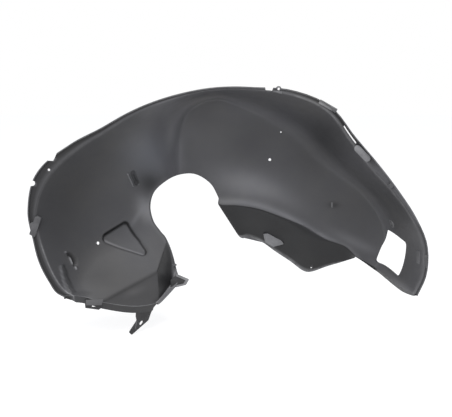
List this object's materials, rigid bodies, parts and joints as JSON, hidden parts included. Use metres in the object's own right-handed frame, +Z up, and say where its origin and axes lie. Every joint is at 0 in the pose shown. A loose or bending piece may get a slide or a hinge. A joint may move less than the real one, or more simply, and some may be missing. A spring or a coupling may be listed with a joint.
{
  "type": "wheel arch liner",
  "caption": "Moulded plastic wheel arch liner with a suspension cut-out, a slanted window, a rim flange with tabs, and a fixing leg at the rear.",
  "frame": {"origin": "midway between the two rim screws, in the plane of the rim, where their heads seat at y = 0; the wheel axis is parallel to Y through x = 0.1169, z = -0.3329", "axes": "+Y inboard, parallel to the wheel axis, +X towards the front of the car, +Z up"},
  "size_m": [0.8199, 0.3018, 0.5318],
  "materials": {
    "plastic": "matte black moulded plastic, fine grain"
  },
  "bodies": {
    "root": {"liner": "plastic"}
  },
  "joints": []
}
